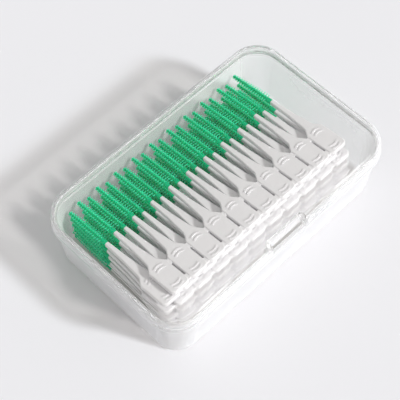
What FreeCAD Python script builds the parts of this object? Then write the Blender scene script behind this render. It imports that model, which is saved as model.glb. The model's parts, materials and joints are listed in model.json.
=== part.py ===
import FreeCAD, Part
import math
import os

# Interdental brushes in snap-off strips, stacked in a clear hinged case.
# X runs along the case, Y from the thumb notch at the front to the hinge at the back, Z up.
# The origin is the middle of the case's underside. All sizes are in millimetres and degrees.

# One brush, measured from the tip of its head towards the tail of its handle
brush_length = 51.0
head_length = 19.1
sleeve_length = 2.2
paddle_length = 11.5
neck_flare = 2.8
bridge_length = 2.1
front_bridge_inset = 0.3
rear_bridge_inset = 0.7

# Handle
handle_pitch = 8.4
handle_gap = 0.7
handle_thickness = 1.9
handle_edge_radius = 0.45
shaft_width = 1.5
shaft_bend_width = 2.2
shaft_bend_radius = 40.0
neck_width = 3.8
neck_radius = 2.5
shoulder_radius = 1.2
tail_radius = 1.7
bridge_thickness = 1.3
bridge_overlap = 0.6
core_radius = 0.5
core_tip_radius = 0.35
core_cover = 1.4

# Raised grip arcs on the handle's upper face, measured back from its shoulder and in from its tail
front_grip_insets = [-0.1, 1.4]
rear_grip_insets = [2.4, 0.9]
grip_span = 3.7
grip_width = 0.5
grip_bend_radius = 3.2
grip_height = 0.22

# Brush head, with one ring standing for each row of bristles
bristle_rows = 16
head_tip_radius = 0.75
head_middle_radius = 1.15
sleeve_radius = 0.95
head_stem_radius = 0.62
head_point_radius = 0.3
bore_clearance = 0.05
head_seat_gap = 0.03

# Strips and how they lie in the case
brushes = 10
strips = 10
strips_with_single_heads = 4
top_strip_tilt = 6.7
layer_gap = 0.05
loose_slip = 1.8
floor_gap = 0.05
left_room = 4.7
right_room = 9.4
back_room = 1.2
front_room = 7.6
lid_room = 1.47

# Case
corner_radius = 11.5
draft_angle = 5.0
base_wall = 1.1
base_floor = 1.3
base_edge_radius = 2.0
rim_height = 1.6
rim_gap = 0.12
lip_height = 1.8
lip_wall = 0.8
lip_clearance = 0.2
lid_height = 5.4
lid_wall = 1.2
lid_top = 1.2
lid_edge_radius = 2.9

# Thumb notch in the front of the lid
notch_width = 15.7
notch_depth = 2.7
notch_radius = 0.8
notch_clearance = 0.4

# Living hinge along the back
hinge_corner_gap = 6.5
hinge_thickness = 0.3
hinge_fold_radius = 0.3
hinge_reach = 0.4

# Sizes that follow from the ones above
tan_draft = math.tan(math.radians(draft_angle))
handle_width = handle_pitch - handle_gap
shoulder_start = brush_length - paddle_length
neck_start = shoulder_start - neck_flare
shaft_bend = (head_length + neck_start) / 2
bridge_starts = [shoulder_start + front_bridge_inset, brush_length - rear_bridge_inset - bridge_length]
front_grips = [shoulder_start + inset for inset in front_grip_insets]
rear_grips = [brush_length - inset for inset in rear_grip_insets]
strip_width = brushes * handle_pitch - handle_gap
stagger = handle_pitch / 2
layer_pitch = handle_thickness + grip_height + layer_gap
rim_width = lid_wall + lip_clearance + lip_wall - base_wall
inner_half_x = (left_room + strip_width + stagger + right_room) / 2
inner_half_y = (back_room + brush_length + loose_slip + front_room) / 2
case_half_x = inner_half_x + base_wall + rim_width
case_half_y = inner_half_y + base_wall + rim_width
core_x = case_half_x - corner_radius
core_y = case_half_y - corner_radius
bottom_layer_height = base_floor + floor_gap + head_middle_radius
tip_line = inner_half_y - back_room
grip_line = tip_line - front_grips[0]
top_rise = (brush_length - front_grips[0]) * math.sin(math.radians(top_strip_tilt))
top_layer_height = bottom_layer_height + (strips - 1) * layer_pitch
lid_underside = top_layer_height + top_rise + handle_thickness / 2 + lid_room
case_height = lid_underside + lid_top
parting = case_height - lid_height
rim_underside = parting - rim_height
hinge_length = 2 * (core_x - hinge_corner_gap)
hinge_y = case_half_y + hinge_reach
hinge_z = parting - rim_gap / 2

# How far a cutting shape stands past the face it cuts
overcut = 1.0

origin = FreeCAD.Vector(0, 0, 0)
x_axis = FreeCAD.Vector(1, 0, 0)
y_axis = FreeCAD.Vector(0, 1, 0)
z_axis = FreeCAD.Vector(0, 0, 1)


def corner_arc(before, corner, after, radius):
    """Start, middle and end of the arc that rounds one corner of an outline."""
    back = before - corner
    ahead = after - corner
    back.normalize()
    ahead.normalize()
    half_angle = back.getAngle(ahead) / 2
    reach = radius / math.tan(half_angle)
    bisector = back + ahead
    bisector.normalize()
    centre = corner + bisector * (radius / math.sin(half_angle))
    return corner + back * reach, centre - bisector * radius, corner + ahead * reach


def rounded_face(corners):
    """Flat face in the XY plane inside an outline of (x, y, radius) corners."""
    points = [FreeCAD.Vector(x, y, 0) for x, y, radius in corners]
    edges = []
    joints = []
    for index, (x, y, radius) in enumerate(corners):
        if radius > 0:
            after = points[(index + 1) % len(points)]
            arc = corner_arc(points[index - 1], points[index], after, radius)
            joints.append(arc)
        else:
            joints.append((points[index], None, points[index]))
    for index, (start, middle, end) in enumerate(joints):
        if middle is not None:
            edges.append(Part.Arc(start, middle, end).toShape())
        following = joints[(index + 1) % len(joints)][0]
        if end.distanceToPoint(following) > 1e-6:
            edges.append(Part.LineSegment(end, following).toShape())
    return Part.Face(Part.Wire(edges))


def upright(face):
    """Turn a face from the XY plane to the XZ plane."""
    turned = face.copy()
    turned.rotate(origin, x_axis, 90)
    return turned


def rounded_block(corners, low, high):
    """Carry a half profile of (distance from corner axis, height, radius) round the case's plan."""
    profile = upright(rounded_face(corners))
    pieces = []
    quarters = [(core_x, core_y), (-core_x, core_y), (-core_x, -core_y), (core_x, -core_y)]
    runs = [2 * core_y, 2 * core_x, 2 * core_y, 2 * core_x]
    starts = [(core_x, -core_y), (core_x, core_y), (-core_x, core_y), (-core_x, -core_y)]
    for turn in range(4):
        quarter = profile.revolve(origin, z_axis, 90)
        quarter.rotate(origin, z_axis, 90 * turn)
        quarter.translate(FreeCAD.Vector(*quarters[turn], 0))
        pieces.append(quarter)
        side = profile.extrude(y_axis * runs[turn])
        side.rotate(origin, z_axis, 90 * turn)
        side.translate(FreeCAD.Vector(*starts[turn], 0))
        pieces.append(side)
    corner = FreeCAD.Vector(-core_x, -core_y, low)
    middle = Part.makeBox(2 * core_x, 2 * core_y, high - low, corner)
    return middle.multiFuse(pieces).removeSplitter()


def front_recess(margin, low, high):
    """Prism over the thumb notch, grown by a margin, from one height to another."""
    half = notch_width / 2 + margin
    rear = -case_half_y + notch_depth + margin
    front = -case_half_y - overcut
    radius = notch_radius + margin
    face = rounded_face([(-half, front, 0), (half, front, 0), (half, rear, radius), (-half, rear, radius)])
    face.translate(z_axis * low)
    return face.extrude(z_axis * (high - low))


def lid_profile(inset, top, radius):
    """Half profile of the lid's outside, or of its inside when inset by the wall."""
    foot = corner_radius - inset
    head = foot - (top - parting) * tan_draft
    return [(0, parting, 0), (foot, parting, 0), (head, top, radius), (0, top, 0)]


def make_lid():
    """Shallow lid whose front wall steps inwards at the thumb notch."""
    outside = rounded_block(lid_profile(0, case_height, lid_edge_radius), parting, case_height)
    inner_radius = lid_edge_radius - lid_wall
    inside = rounded_block(lid_profile(lid_wall, lid_underside, inner_radius), parting, lid_underside)
    notch = front_recess(0, parting - overcut, case_height + overcut)
    notch_wall = front_recess(lid_wall, parting - overcut, case_height + overcut)
    return outside.cut(notch).cut(inside.cut(notch_wall))


def make_base():
    """Drafted tray with a rim, a lip that enters the lid and a ledge under the thumb notch."""
    wall_top = corner_radius - rim_width
    wall_foot = wall_top - rim_underside * tan_draft
    rim_top = parting - rim_gap
    lip_top = parting + lip_height
    lip_foot = corner_radius - lid_wall - lip_clearance
    lip_head = lip_foot - lip_height * tan_draft
    outside = rounded_block(
        [(0, 0, 0), (wall_foot, 0, base_edge_radius), (wall_top, rim_underside, 0),
         (corner_radius, rim_underside, 0), (corner_radius, rim_top, 0), (lip_foot, rim_top, 0),
         (lip_head, lip_top, 0), (0, lip_top, 0)], 0, lip_top)
    inner_top = wall_top - base_wall
    inner_foot = inner_top - (rim_underside - base_floor) * tan_draft
    inner_radius = base_edge_radius - base_wall
    open_top = lip_top + overcut
    hollow = rounded_block(
        [(0, base_floor, 0), (inner_foot, base_floor, inner_radius), (inner_top, rim_underside, 0),
         (inner_top, open_top, 0), (0, open_top, 0)], base_floor, open_top)
    margin = lid_wall + notch_clearance
    lip_cut = front_recess(margin, rim_top, open_top)
    ledge = front_recess(margin, rim_underside, rim_top)
    beyond_rim = Part.makeBox(4 * case_half_x, 2 * case_half_y, case_height)
    beyond_rim.translate(FreeCAD.Vector(-2 * case_half_x, -3 * case_half_y + base_wall, 0))
    return outside.cut(hollow).cut(lip_cut).fuse(ledge.cut(beyond_rim)).removeSplitter()


def make_hinge():
    """Thin folded web that joins the base's rim to the lid's back edge."""
    outer = hinge_fold_radius + hinge_thickness
    face = rounded_face([
        (case_half_y, -outer, 0), (hinge_y + outer, -outer, outer), (hinge_y + outer, outer, outer),
        (case_half_y, outer, 0), (case_half_y, hinge_fold_radius, 0),
        (hinge_y + hinge_fold_radius, hinge_fold_radius, hinge_fold_radius),
        (hinge_y + hinge_fold_radius, -hinge_fold_radius, hinge_fold_radius),
        (case_half_y, -hinge_fold_radius, 0)])
    web = upright(face)
    web.rotate(origin, z_axis, 90)
    web.translate(FreeCAD.Vector(hinge_length / 2, 0, hinge_z))
    return web.extrude(x_axis * -hinge_length)


def grip_arc(station, facing):
    """One raised arc across the handle, bowed towards the head or towards the tail."""
    half_turn = math.degrees(math.asin(grip_span / 2 / grip_bend_radius))
    outer = grip_bend_radius + grip_width / 2
    inner = grip_bend_radius - grip_width / 2
    height = grip_height + handle_thickness / 2
    ring = Part.makeCylinder(outer, height, origin, z_axis, 2 * half_turn)
    ring = ring.cut(Part.makeCylinder(inner, height))
    ring.rotate(origin, z_axis, 90 * facing - half_turn)
    ring.translate(FreeCAD.Vector(0, -station - facing * grip_bend_radius, 0))
    return ring


def make_handle():
    """One brush handle lying along -Y from its tip, with the thin core that carries the head."""
    right = [(shaft_width / 2, -head_length, 0), (shaft_bend_width / 2, -shaft_bend, shaft_bend_radius),
             (neck_width / 2, -neck_start, neck_radius), (handle_width / 2, -shoulder_start, shoulder_radius),
             (handle_width / 2, -brush_length, tail_radius)]
    left = [(-x, y, radius) for x, y, radius in reversed(right)]
    plate = rounded_face(right + left)
    plate.translate(z_axis * (-handle_thickness / 2))
    bar = plate.extrude(z_axis * handle_thickness)
    rims = []
    for edge in bar.Edges:
        box = edge.BoundBox
        if box.ZLength < handle_thickness / 2 and box.YMin < -head_length - head_seat_gap:
            rims.append(edge)
    bar = bar.makeFillet(handle_edge_radius, rims)
    root = FreeCAD.Vector(0, -head_length - bridge_overlap, 0)
    core_length = head_length + bridge_overlap - core_cover
    core = Part.makeCone(core_radius, core_tip_radius, core_length, root, y_axis)
    grips = [grip_arc(station, 1) for station in front_grips]
    grips += [grip_arc(station, -1) for station in rear_grips]
    return bar.multiFuse([core] + grips)


def make_strip():
    """A row of handles joined side by side by two thin bridges that snap."""
    handle = make_handle()
    bodies = []
    for index in range(brushes):
        copy = handle.copy()
        copy.translate(x_axis * brush_x(index))
        bodies.append(copy)
    bridge_width = handle_gap + 2 * bridge_overlap
    for index in range(brushes - 1):
        middle = (brush_x(index) + brush_x(index + 1)) / 2
        for start in bridge_starts:
            corner = FreeCAD.Vector(middle - bridge_width / 2, -start - bridge_length, -bridge_thickness / 2)
            bodies.append(Part.makeBox(bridge_width, bridge_length, bridge_thickness, corner))
    return bodies[0].multiFuse(bodies[1:])


def make_head():
    """Soft brush head over the core: a ringed cone-like stem that ends in a plain sleeve."""
    bristle_length = head_length - sleeve_length
    row_pitch = bristle_length / bristle_rows
    outline = [(0, 0), (head_point_radius, 0)]
    for row in range(bristle_rows):
        share = (row + 0.5) / bristle_rows
        swell = head_middle_radius - (head_middle_radius - head_tip_radius) * (1 - share) ** 2
        outline.append((swell, (row + 0.5) * row_pitch))
        outline.append((head_stem_radius, (row + 1) * row_pitch))
    foot = head_length - head_seat_gap
    bore_end = core_cover - head_seat_gap
    outline += [(sleeve_radius, bristle_length + row_pitch / 2), (sleeve_radius, foot),
                (core_radius + bore_clearance, foot), (core_tip_radius + bore_clearance, bore_end),
                (0, bore_end)]
    points = [FreeCAD.Vector(radius, -along, 0) for radius, along in outline]
    return Part.Face(Part.makePolygon(points + points[:1])).revolve(origin, y_axis, 360)


def brush_x(index):
    """Where one brush of a strip stands, from the strip's middle."""
    return (index - (brushes - 1) / 2) * handle_pitch


def layer_placement(layer):
    """Where a strip's tip line lies and how it tilts, counted from the top of the stack."""
    above_floor = strips - 1 - layer
    tilt = top_strip_tilt * above_floor / (strips - 1)
    slipped = layer > 0 and layer % 2 == 0
    tip_y = tip_line - layer * layer_pitch * tan_draft - loose_slip * slipped
    grip_height_here = bottom_layer_height + above_floor * layer_pitch
    tip_z = grip_height_here + (grip_line - tip_y) * math.tan(math.radians(tilt))
    middle_x = inner_half_x - right_room - strip_width / 2 - stagger * (layer % 2)
    return FreeCAD.Placement(FreeCAD.Vector(middle_x, tip_y, tip_z), FreeCAD.Rotation(x_axis, -tilt))


def placed(shape, placement):
    """A copy of a shape at a placement."""
    copy = shape.copy()
    copy.Placement = placement.multiply(copy.Placement)
    return copy


def main():
    nodes = {"case_base": make_base(), "case_lid": make_lid(), "hinge_web": make_hinge()}
    strip = make_strip()
    head = make_head()
    for layer in range(strips):
        number = f"{layer + 1:02d}"
        placement = layer_placement(layer)
        nodes[f"handle_strip_{number}"] = placed(strip, placement)
        heads = []
        for index in range(brushes):
            copy = head.copy()
            copy.translate(x_axis * brush_x(index))
            heads.append(placed(copy, placement))
        if layer < strips_with_single_heads:
            for index, single in enumerate(heads):
                nodes[f"brush_head_{number}_{index + 1:02d}"] = single
        else:
            nodes[f"brush_heads_{number}"] = Part.makeCompound(heads)
    os.makedirs("parts", exist_ok=True)
    for name, shape in nodes.items():
        shape.exportStep(f"parts/{name}.step")
    print("nodes", len(nodes))
    print("case", round(2 * case_half_x, 2), round(2 * case_half_y, 2), round(case_height, 2))
    print("parting", round(parting, 3), "hinge", round(hinge_y, 3), round(hinge_z, 3))
    for name in ("case_base", "case_lid", "hinge_web", "handle_strip_01", "brush_head_01_01"):
        shape = nodes[name]
        print(name, shape.isValid(), len(shape.Solids), len(shape.Faces), round(shape.Volume, 2))


main()
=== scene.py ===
import json
import math
import random

import bmesh
import bpy
import numpy as np
from mathutils import Matrix, Vector


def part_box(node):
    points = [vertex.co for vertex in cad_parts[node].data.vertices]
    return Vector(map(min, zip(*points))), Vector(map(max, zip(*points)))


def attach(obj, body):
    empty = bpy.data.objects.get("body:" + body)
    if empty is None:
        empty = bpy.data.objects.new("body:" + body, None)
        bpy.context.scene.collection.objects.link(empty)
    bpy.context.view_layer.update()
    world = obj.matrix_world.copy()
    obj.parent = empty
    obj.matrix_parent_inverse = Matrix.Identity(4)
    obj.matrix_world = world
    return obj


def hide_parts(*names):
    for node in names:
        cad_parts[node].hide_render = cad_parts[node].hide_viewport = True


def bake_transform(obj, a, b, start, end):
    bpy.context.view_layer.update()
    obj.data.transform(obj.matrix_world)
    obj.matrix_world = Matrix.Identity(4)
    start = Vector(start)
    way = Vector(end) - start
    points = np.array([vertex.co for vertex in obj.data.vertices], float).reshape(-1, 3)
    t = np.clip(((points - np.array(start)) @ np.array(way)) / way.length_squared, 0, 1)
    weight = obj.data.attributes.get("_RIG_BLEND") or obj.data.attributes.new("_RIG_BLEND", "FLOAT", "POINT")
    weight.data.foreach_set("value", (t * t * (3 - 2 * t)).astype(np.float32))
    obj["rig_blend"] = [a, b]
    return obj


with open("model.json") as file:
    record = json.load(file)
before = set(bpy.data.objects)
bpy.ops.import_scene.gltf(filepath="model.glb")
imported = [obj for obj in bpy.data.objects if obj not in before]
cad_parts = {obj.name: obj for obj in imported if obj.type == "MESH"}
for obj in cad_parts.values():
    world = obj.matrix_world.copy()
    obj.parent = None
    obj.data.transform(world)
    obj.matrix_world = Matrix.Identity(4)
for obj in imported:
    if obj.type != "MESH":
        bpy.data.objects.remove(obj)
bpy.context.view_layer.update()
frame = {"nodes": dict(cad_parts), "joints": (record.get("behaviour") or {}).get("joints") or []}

# Interdental brushes in snap-off strips, stacked in a clear hinged case.
# Everything is in metres, in the part's own frame: X along the case, Y to the hinge, Z up.

nodes = frame["nodes"]
millimetre = 0.001

# Stem of a brush head: radius and distance from the tip, in millimetres
stem_profile = [(0.0, 0.0), (0.24, 0.04), (0.38, 0.22), (0.46, 0.7), (0.56, 3.0), (0.62, 9.0),
                (0.7, 16.0), (0.88, 16.9), (0.97, 17.5), (0.99, 18.6), (0.95, 19.07), (0.55, 19.09)]
stem_steps = 16
stem_merge_distance = 0.001 * millimetre
head_smooth_angle = math.radians(50)

# Bristles, whose reach is counted from the stem's axis
bristle_zone = 16.9 * millimetre
bristle_rows = 16
bristle_directions = 6
bristle_base_radius = 0.21 * millimetre
bristle_tip_radius = 0.18 * millimetre
bristle_sides = 6
bristle_lean = math.radians(12)
bristle_jitter = 0.05
root_share = 0.6
# Share of the painted tip light (a paler colour standing in for light through the thin bristles and their glints)
# at a bristle's foot
foot_painted_light = 0.4
head_tip_reach = 0.85 * millimetre
head_middle_reach = 1.8 * millimetre
brush_seed = 7

# Strips, counted from the top, with the lowest heads pressed flatter on the case's floor
strips = 10
strips_with_single_heads = 4
brushes_per_strip = 10
pressed_height = 0.6

# Case shells
merge_distance = 0.002 * millimetre
flat_angle = math.radians(0.05)
shell_sharp_angle = math.radians(40)
shell_smooth_angle = math.radians(50)
eased_edge = 0.2 * millimetre
eased_segments = 2
largest_facet = 40 * millimetre ** 2
level_normal = 0.9
front_fade = 3 * millimetre
clear_index = 1.22

# Living hinge, folded to an outer radius of twice the web's thickness
hinge_segments = 14
hinge_columns = 24
hinge_smooth_angle = math.radians(40)
hinge_radius_share = 2

# Camera, from the photograph's perspective
image_pixels = 400
focal_pixels = 1231.36
sensor_width = 36.0
nearest_view = 0.01
camera_azimuth = math.radians(-44.781)
camera_elevation = math.radians(58.524)
camera_roll = math.radians(-0.204)
camera_place = Vector((-161.9, -154.1, 374.3)) * millimetre

# Light and floor
sun_shadow_direction = Vector((-0.39, 0.92, 0.0))
sun_elevation = math.radians(33)
sun_spread = math.radians(7)
sun_strength = 2.8
sun_colour = (0.985, 0.99, 1.0)
sky_strength = 0.5
sky_shown = 0.93
sky_colour = (1.0, 0.985, 0.98, 1.0)
floor_half = 3.0
floor_cells = 8
floor_drop = 0.02 * millimetre


class Value:
    """An output socket, so that shader maths reads as plain expressions."""

    def __init__(self, finish, socket):
        self.finish = finish
        self.socket = socket

    def maths(self, operation, first, second):
        settings = {"operation": operation}
        return self.finish.node("ShaderNodeMath", settings, {0: first, 1: second}, "Value")

    def __add__(self, other):
        return self.maths("ADD", self, other)

    def __radd__(self, other):
        return self.maths("ADD", other, self)

    def __sub__(self, other):
        return self.maths("SUBTRACT", self, other)

    def __rsub__(self, other):
        return self.maths("SUBTRACT", other, self)

    def __mul__(self, other):
        return self.maths("MULTIPLY", self, other)

    def __rmul__(self, other):
        return self.maths("MULTIPLY", other, self)

    def __pow__(self, other):
        return self.maths("POWER", self, other)

    def larger(self, other):
        return self.maths("MAXIMUM", self, other)


class Finish:
    """The shader nodes of one material or of the world."""

    def __init__(self, owner):
        owner.use_nodes = True
        self.owner = owner
        self.tree = owner.node_tree
        self.tree.nodes.clear()

    def node(self, kind, settings, inputs, output):
        """Add a node, set its settings, then its inputs, and give back one output."""
        made = self.tree.nodes.new(kind)
        for key, value in settings.items():
            setattr(made, key, value)
        for key, value in inputs.items():
            socket = self.pick(made.inputs, key)
            if isinstance(value, Value):
                self.tree.links.new(value.socket, socket)
            else:
                socket.default_value = value
        return Value(self, self.pick(made.outputs, output)) if made.outputs else None

    def pick(self, sockets, key):
        """Find a socket by its number, its identifier or its name."""
        if isinstance(key, int):
            return sockets[key]
        for socket in sockets:
            if socket.identifier == key:
                return socket
        return sockets[key]

    def place(self):
        return self.node("ShaderNodeTexCoord", {}, {}, "Object")

    def noise(self, scale, detail):
        inputs = {"Vector": self.place(), "Scale": scale, "Detail": detail}
        return self.node("ShaderNodeTexNoise", {}, inputs, "Fac")

    def attribute(self, name):
        return self.node("ShaderNodeAttribute", {"attribute_name": name}, {}, "Fac")

    def rays(self, *kinds):
        """Is 1 on rays of any of these kinds."""
        found = self.node("ShaderNodeLightPath", {}, {}, kinds[0])
        for kind in kinds[1:]:
            found = found.larger(self.node("ShaderNodeLightPath", {}, {}, kind))
        return found

    def mix(self, factor, first, second):
        inputs = {"Factor_Float": factor, "A_Color": first, "B_Color": second}
        return self.node("ShaderNodeMix", {"data_type": "RGBA"}, inputs, "Result_Color")

    def bump(self, height, strength, distance):
        inputs = {"Height": height, "Strength": strength, "Distance": distance}
        return self.node("ShaderNodeBump", {}, inputs, "Normal")

    def front(self):
        """Rises from 0 at the strips' tails to 1 nearer the case's front."""
        depth = self.node("ShaderNodeSeparateXYZ", {}, {"Vector": self.place()}, "Y")
        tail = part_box("handle_strip_01")[0].y
        inputs = {"Value": depth, "From Min": tail, "From Max": tail - front_fade,
                  "To Min": 0.0, "To Max": 1.0}
        return self.node("ShaderNodeMapRange", {"interpolation_type": "SMOOTHSTEP"}, inputs, "Result")

    def facing(self):
        """Rises from 0 where the surface faces the ray to 1 where it is edge on."""
        return self.node("ShaderNodeLayerWeight", {}, {"Blend": 0.5}, "Facing")

    def principled(self, inputs):
        return self.node("ShaderNodeBsdfPrincipled", {}, inputs, "BSDF")

    def blend(self, factor, first, second):
        """Mix two shaders."""
        return self.node("ShaderNodeMixShader", {}, {0: factor, 1: first, 2: second}, "Shader")

    def show(self, shader, kind="ShaderNodeOutputMaterial"):
        self.node(kind, {}, {"Surface": shader}, None)
        return self.owner


def clear_plastic(name, shade, haze, front_haze):
    """Clear polypropylene, milky where it is edge on, that blocks a share of the light through it."""
    finish = Finish(bpy.data.materials.new(name))
    cloud = finish.noise(90.0, 2.0)
    edge = finish.facing()
    tint = finish.mix(cloud, (0.98, 0.99, 0.985, 1.0), (0.99, 0.995, 0.99, 1.0))
    roughness = haze + 0.02 * cloud + 0.12 * edge + front_haze * finish.front()
    clear = finish.principled({"Base Color": tint, "Roughness": roughness, "IOR": clear_index,
                               "Transmission Weight": 1.0})
    white = finish.mix(cloud, (0.88, 0.89, 0.91, 1.0), (0.92, 0.92, 0.93, 1.0))
    milk = finish.principled({"Base Color": white, "Roughness": 0.4 + 0.1 * cloud,
                              "Specular IOR Level": 0.1})
    warm_tint = {"Color": (1.0, 0.99, 0.975, 1.0)}
    open_way = finish.node("ShaderNodeBsdfTransparent", {}, warm_tint, "BSDF")
    seen = finish.blend((0.85 + 0.2 * cloud) * (edge - 0.2).larger(0.0), clear, milk)
    passed = finish.blend(shade + 0.3 * edge ** 2.0, open_way, milk)
    return finish.show(finish.blend(finish.rays("Is Shadow Ray", "Is Diffuse Ray"), seen, passed))


def handle_plastic():
    """Pale moulded plastic with a satin skin."""
    finish = Finish(bpy.data.materials.new("handle_plastic"))
    cloud = finish.noise(180.0, 3.0)
    grain = finish.noise(5200.0, 2.0)
    colour = finish.mix(cloud, (0.84, 0.835, 0.855, 1.0), (0.89, 0.885, 0.905, 1.0))
    return finish.show(finish.principled({"Base Color": colour, "Roughness": 0.38 + 0.14 * grain,
                                          "Normal": finish.bump(grain, 0.08, 0.0001)}))


def bristle_rubber():
    """Soft green elastomer that lets some light through, with a painted highlight and glow: paler towards the
    thin bristle tips, standing in for light through them and their glints.
    """
    finish = Finish(bpy.data.materials.new("bristle_rubber"))
    patch = finish.noise(900.0, 3.0)
    body = finish.mix(patch, (0.0, 0.5, 0.25, 1.0), (0.0, 0.66, 0.35, 1.0))
    # Painted highlight and glow: the "tip" layer turns the colour paler towards the bristle ends, in place of
    # light through the thin tips and their glints
    colour = finish.mix(finish.attribute("tip"), body, (0.14, 1.0, 0.78, 1.0))
    skin = finish.principled({"Base Color": colour, "Roughness": 0.34 + 0.16 * patch,
                              "Specular IOR Level": 0.15})
    glow = finish.node("ShaderNodeBsdfTranslucent", {}, {"Color": (0.02, 1.0, 0.66, 1.0)}, "BSDF")
    return finish.show(finish.blend(0.45, skin, glow))


def floor_paint():
    """Plain pale floor."""
    finish = Finish(bpy.data.materials.new("floor_paint"))
    speck = finish.noise(6.0, 2.0)
    colour = finish.mix(speck, (0.845, 0.845, 0.865, 1.0), (0.865, 0.865, 0.885, 1.0))
    return finish.show(finish.principled({"Base Color": colour, "Roughness": 0.9}))


def new_piece(name, shape, material, smooth_angle=None):
    """Make an object from a bmesh, with its place in its mesh."""
    mesh = bpy.data.meshes.new(name)
    if smooth_angle is not None:
        for face in shape.faces:
            face.smooth = True
        for edge in shape.edges:
            edge.smooth = edge.calc_face_angle(0.0) < smooth_angle
    shape.to_mesh(mesh)
    shape.free()
    mesh.materials.append(material)
    piece = bpy.data.objects.new(name, mesh)
    bpy.context.scene.collection.objects.link(piece)
    return piece


def head_stem(shape):
    """Spin the head's stem round its axis, from the tip along -Y."""
    ring = [shape.verts.new((radius * millimetre, -along * millimetre, 0))
            for radius, along in stem_profile]
    edges = [shape.edges.new(pair) for pair in zip(ring, ring[1:])]
    bmesh.ops.spin(shape, geom=ring + edges, cent=(0, 0, 0), axis=(0, 1, 0), angle=math.tau,
                   steps=stem_steps, use_merge=True)
    bmesh.ops.remove_doubles(shape, verts=shape.verts, dist=stem_merge_distance)
    bmesh.ops.recalc_face_normals(shape, faces=shape.faces)


def stem_radius(along):
    """The stem's radius at a distance from the tip."""
    radii, places = np.array(stem_profile).T * millimetre
    return float(np.interp(along, places, radii))


def bristle(shape, along, turn, reach):
    """One tapered bristle that stands out of the stem and leans back towards the handle."""
    foot = stem_radius(along) * root_share
    length = reach - foot
    tip = shape.verts.layers.float["tip"]
    made = bmesh.ops.create_cone(shape, cap_ends=True, segments=bristle_sides, depth=length,
                                 radius1=bristle_base_radius, radius2=bristle_tip_radius)
    # Painted light: the "tip" layer is full at the bristle's end and a smaller share at its foot, and the
    # material paints it as a paler colour
    for vertex in made["verts"]:
        vertex[tip] = 1.0 if vertex.co.z > 0 else foot_painted_light
    stand = Matrix.Translation((0, 0, foot + length / 2))
    lean = Matrix.Rotation(bristle_lean, 4, "X")
    roll = Matrix.Rotation(turn, 4, "Y")
    place = Matrix.Translation((0, -along, 0)) @ roll @ lean @ stand
    bmesh.ops.transform(shape, matrix=place, verts=made["verts"])


def brush_head(seed):
    """A head's stem with all its bristles, tip at the origin."""
    chance = random.Random(seed)
    shape = bmesh.new()
    # Layer that carries the painted tip light of the bristles
    shape.verts.layers.float.new("tip")
    head_stem(shape)
    for row in range(bristle_rows):
        share = (row + 0.5) / bristle_rows
        along = share * bristle_zone
        reach = head_middle_reach - (head_middle_reach - head_tip_reach) * (1 - share) ** 2
        for direction in range(bristle_directions):
            shift = chance.uniform(-bristle_jitter, bristle_jitter)
            turn = math.tau * direction / bristle_directions + shift
            stretch = 1 + chance.uniform(-bristle_jitter, bristle_jitter)
            bristle(shape, along, turn, reach * stretch)
    mesh = bpy.data.meshes.new("head_pattern")
    shape.to_mesh(mesh)
    shape.free()
    return mesh


def head_places(node, count):
    """Matrices that put a head pattern on each of the heads of a node, read from its mesh."""
    points = np.array([vertex.co for vertex in nodes[node].data.vertices])
    low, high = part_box(node)
    flat = points[:, 1:]
    middle = flat.mean(axis=0)
    spread = np.cov((flat - middle).T)
    axis = np.linalg.eigh(spread)[1][:, -1]
    axis = axis * math.copysign(1.0, axis[0])
    tip = middle + axis * ((flat - middle) @ axis).max()
    turn = Matrix.Rotation(math.atan2(axis[1], axis[0]), 4, "X")
    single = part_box("brush_head_01_01")
    half_width = (single[1].x - single[0].x) / 2
    places = []
    for index in range(count):
        share = index / (count - 1) if count > 1 else 0.5
        across = low.x + half_width + share * (high.x - low.x - 2 * half_width)
        places.append(Matrix.Translation((across, tip[0], tip[1])) @ turn)
    return places


def make_heads(material):
    """Replace every head of the frame by one with real bristles."""
    patterns = [brush_head(brush_seed + index) for index in range(brushes_per_strip)]
    for layer in range(1, strips + 1):
        if layer <= strips_with_single_heads:
            names = [f"brush_head_{layer:02d}_{index:02d}" for index in range(1, brushes_per_strip + 1)]
        else:
            names = [f"brush_heads_{layer:02d}"]
        count = brushes_per_strip // len(names)
        pressed = Matrix.Scale(pressed_height if layer == strips else 1.0, 4, (0, 0, 1))
        for order, name in enumerate(names):
            shape = bmesh.new()
            for index, place in enumerate(head_places(name, count)):
                pattern = patterns[(order + index + layer) % brushes_per_strip].copy()
                pattern.transform(place @ pressed)
                shape.from_mesh(pattern)
                bpy.data.meshes.remove(pattern)
            piece = new_piece(f"bristles_{name.removeprefix('brush_')}", shape, material, head_smooth_angle)
            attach(piece, "base")
            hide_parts(name)


def make_shell(name, node, body, material):
    """Copy a clear solid, with its sharp edges eased, its small facets smooth and its large flats flat."""
    shape = bmesh.new()
    shape.from_mesh(nodes[node].data)
    bmesh.ops.remove_doubles(shape, verts=shape.verts, dist=merge_distance)
    bmesh.ops.dissolve_limit(shape, angle_limit=flat_angle, verts=shape.verts, edges=shape.edges)
    sharp = [edge for edge in shape.edges if edge.calc_face_angle(0.0) > shell_sharp_angle]
    bmesh.ops.bevel(shape, geom=sharp, offset=eased_edge, offset_type="OFFSET", segments=eased_segments,
                    profile=0.5, affect="EDGES", clamp_overlap=True, material=-1)
    bmesh.ops.recalc_face_normals(shape, faces=shape.faces)
    piece = new_piece(name, shape, material, shell_smooth_angle)
    for face in piece.data.polygons:
        face.use_smooth = face.area < largest_facet or abs(face.normal.z) < level_normal
    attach(piece, body)
    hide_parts(node)


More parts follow.
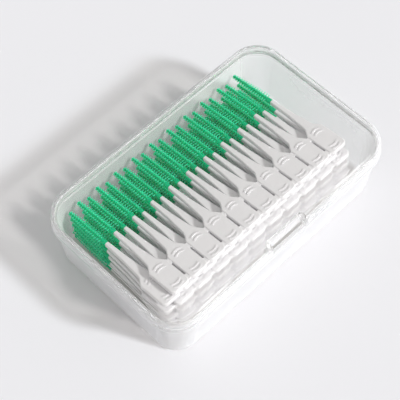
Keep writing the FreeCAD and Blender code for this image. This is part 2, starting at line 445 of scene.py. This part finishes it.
def make_hinge(material):
    """Folded web between the base's rim and the lid, which bends as the lid opens."""
    low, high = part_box("hinge_web")
    joint = Vector(frame["joints"][0]["pos_m"])
    outer = high.y - joint.y
    thickness = outer / hinge_radius_share
    radius = outer - thickness / 2
    shape = bmesh.new()
    profile = [shape.verts.new((low.x, low.y, joint.z - radius))]
    for step in range(hinge_segments + 1):
        turn = math.pi * (step / hinge_segments - 0.5)
        back = joint.y + radius * math.cos(turn)
        height = joint.z + radius * math.sin(turn)
        profile.append(shape.verts.new((low.x, back, height)))
    profile.append(shape.verts.new((low.x, low.y, joint.z + radius)))
    front = [shape.edges.new(pair) for pair in zip(profile, profile[1:])]
    step_along = ((high.x - low.x) / hinge_columns, 0, 0)
    for column in range(hinge_columns):
        grown = bmesh.ops.extrude_edge_only(shape, edges=front)
        moved = [item for item in grown["geom"] if isinstance(item, bmesh.types.BMVert)]
        front = [item for item in grown["geom"] if isinstance(item, bmesh.types.BMEdge)]
        bmesh.ops.translate(shape, vec=step_along, verts=moved)
    bmesh.ops.recalc_face_normals(shape, faces=shape.faces)
    bmesh.ops.solidify(shape, geom=shape.faces, thickness=thickness)
    piece = new_piece("hinge_fold", shape, material, hinge_smooth_angle)
    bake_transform(piece, "base", "lid", start=(0, joint.y, joint.z - radius), end=(0, joint.y, joint.z + radius))
    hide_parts("hinge_web")


def make_floor(material):
    """A wide floor just under the case."""
    shape = bmesh.new()
    bmesh.ops.create_grid(shape, x_segments=floor_cells, y_segments=floor_cells, size=floor_half)
    bmesh.ops.translate(shape, vec=(0, 0, -floor_drop), verts=shape.verts)
    floor = new_piece("floor", shape, material)


def make_camera():
    """Camera where the photograph was taken from."""
    right = Vector((math.cos(camera_azimuth), math.sin(camera_azimuth), 0))
    back = Vector((math.sin(camera_azimuth) * math.cos(camera_elevation),
                   -math.cos(camera_azimuth) * math.cos(camera_elevation), math.sin(camera_elevation)))
    up = back.cross(right)
    rolled_right = right * math.cos(camera_roll) + up * math.sin(camera_roll)
    rolled_up = up * math.cos(camera_roll) - right * math.sin(camera_roll)
    data = bpy.data.cameras.new("camera")
    data.sensor_width = sensor_width
    data.lens = sensor_width * focal_pixels / image_pixels
    data.clip_start = nearest_view
    camera = bpy.data.objects.new("camera", data)
    turn = Matrix((rolled_right, rolled_up, back)).transposed().to_4x4()
    camera.matrix_world = Matrix.Translation(camera_place) @ turn
    bpy.context.scene.collection.objects.link(camera)
    bpy.context.scene.camera = camera


def make_sun():
    """A soft sun from the front right."""
    data = bpy.data.lights.new("key", "SUN")
    data.energy = sun_strength
    data.angle = sun_spread
    data.color = sun_colour
    key = bpy.data.objects.new("key", data)
    away = sun_shadow_direction.normalized() * math.cos(sun_elevation)
    beam = Vector((away.x, away.y, -math.sin(sun_elevation)))
    key.rotation_euler = beam.to_track_quat("-Z", "Y").to_euler()
    bpy.context.scene.collection.objects.link(key)


def make_sky():
    """An even pale sky, near white where it is seen, mirrored or looked at through the case."""
    finish = Finish(bpy.data.worlds.new("sky"))
    seen = finish.rays("Is Camera Ray", "Is Glossy Ray", "Is Transmission Ray")
    strength = sky_strength + (sky_shown - sky_strength) * seen
    inputs = {"Color": sky_colour, "Strength": strength}
    light = finish.node("ShaderNodeBackground", {}, inputs, "Background")
    bpy.context.scene.world = finish.show(light, "ShaderNodeOutputWorld")


def dress_frame(clear, pale):
    """Give the solids that show as they are their finishes."""
    for name, node in nodes.items():
        node.data.materials.clear()
        node.data.materials.append(pale if name.startswith("handle_strip") else clear)


clear_base = clear_plastic("clear_base", shade=0.18, haze=0.06, front_haze=0.06)
clear_lid = clear_plastic("clear_lid", shade=0.04, haze=0.03, front_haze=0.16)
dress_frame(clear_base, handle_plastic())
make_heads(bristle_rubber())
make_shell("base_shell", "case_base", "base", clear_base)
make_shell("lid_shell", "case_lid", "lid", clear_lid)
make_hinge(clear_base)
make_floor(floor_paint())
make_camera()
make_sun()
make_sky()
bpy.context.scene.view_settings.view_transform = "Standard"
